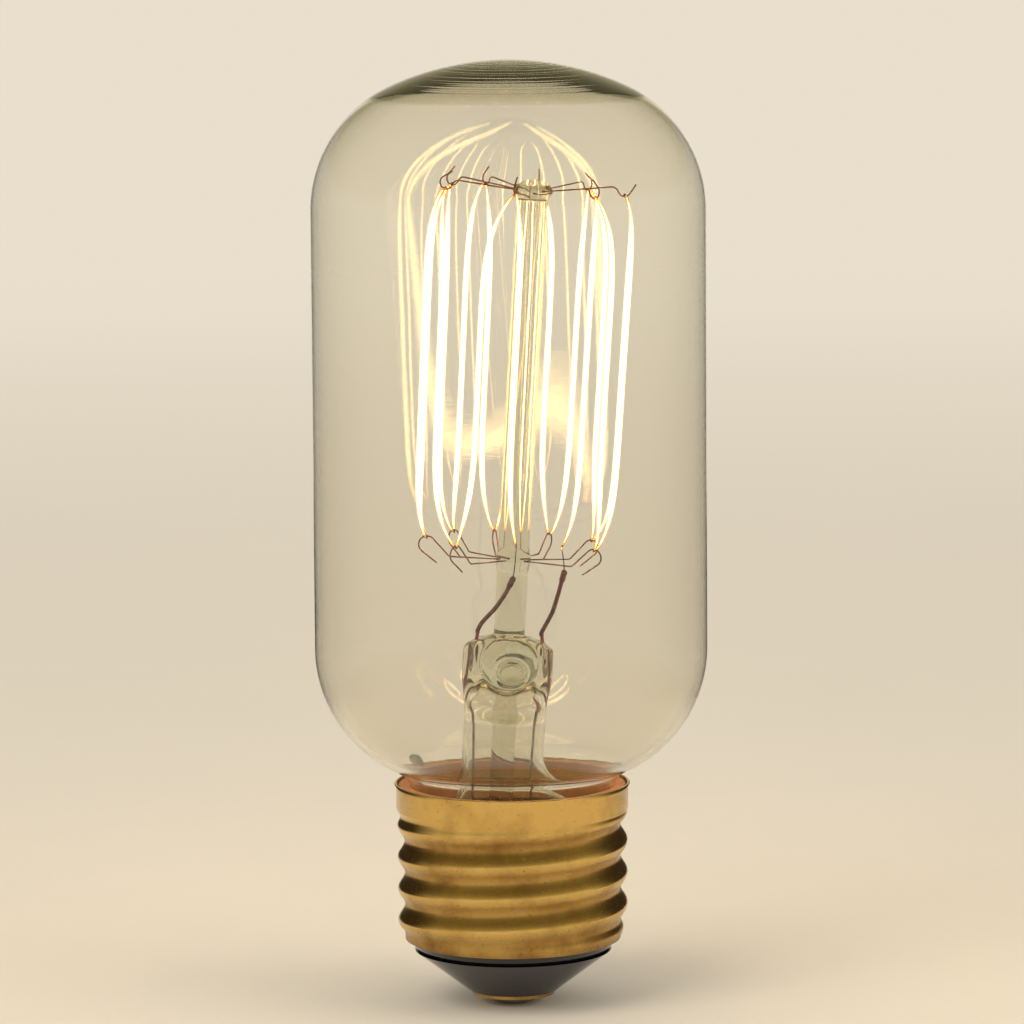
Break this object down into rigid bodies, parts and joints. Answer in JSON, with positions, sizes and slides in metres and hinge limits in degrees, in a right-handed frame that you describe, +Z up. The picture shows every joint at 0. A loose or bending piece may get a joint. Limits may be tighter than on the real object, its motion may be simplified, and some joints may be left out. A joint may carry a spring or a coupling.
{
  "type": "filament lamp",
  "caption": "Clear tubular glass lamp with a long cage filament hung between two rings of wire hooks, on a medium screw base.",
  "frame": {"origin": "middle of the flat under the contact tip, at the foot of the lamp", "axes": "+Z up the lamp's axis from the contact tip to the crown of the bulb; -Y towards the camera of the picture; +X to the picture's right"},
  "size_m": [0.0446, 0.0444, 0.1074],
  "materials": {
    "clear_glass": "clear soda-lime glass, fire-polished",
    "glowing_filament": "coiled lamp filament, glowing warm white",
    "hook_wire": "fine drawn molybdenum wire, slightly oxidised",
    "copper_lead": "copper-plated lead wire, browned by heat",
    "dumet": "copper-clad wire, reddened in the glass seal",
    "outer_wire": "thin copper wire, dull",
    "brass_shell": "rolled brass sheet, satin with light tarnish",
    "brass_contact": "stamped brass, satin",
    "black_glass": "moulded opaque black glass, glossy",
    "solder": "soft solder, dull bright",
    "cement": "baked basing cement, matt and grainy"
  },
  "bodies": {
    "root": {"envelope": "clear_glass", "stem_flare": "clear_glass", "stem_press": "clear_glass", "exhaust_tube": "clear_glass", "arbor_rod": "clear_glass", "arbor_button": "clear_glass", "filament": "glowing_filament", "inner_lead_1": "copper_lead", "inner_lead_2": "copper_lead", "lead_clamp_1": "copper_lead", "lead_clamp_2": "copper_lead", "dumet_wire_1": "dumet", "dumet_wire_2": "dumet", "outer_lead_1": "outer_wire", "outer_lead_2": "outer_wire", "screw_shell": "brass_shell", "base_insulator": "black_glass", "centre_contact": "brass_contact", "tip_solder": "solder", "side_solder": "solder", "basing_cement": "cement", "upper_hook_1": "hook_wire", "upper_hook_2": "hook_wire", "upper_hook_3": "hook_wire", "upper_hook_4": "hook_wire", "upper_hook_5": "hook_wire", "upper_hook_6": "hook_wire", "upper_hook_7": "hook_wire", "upper_hook_8": "hook_wire", "lower_hook_1": "hook_wire", "lower_hook_2": "hook_wire", "lower_hook_3": "hook_wire", "lower_hook_4": "hook_wire", "lower_hook_5": "hook_wire", "lower_hook_6": "hook_wire", "lower_hook_7": "hook_wire"}
  },
  "joints": []
}
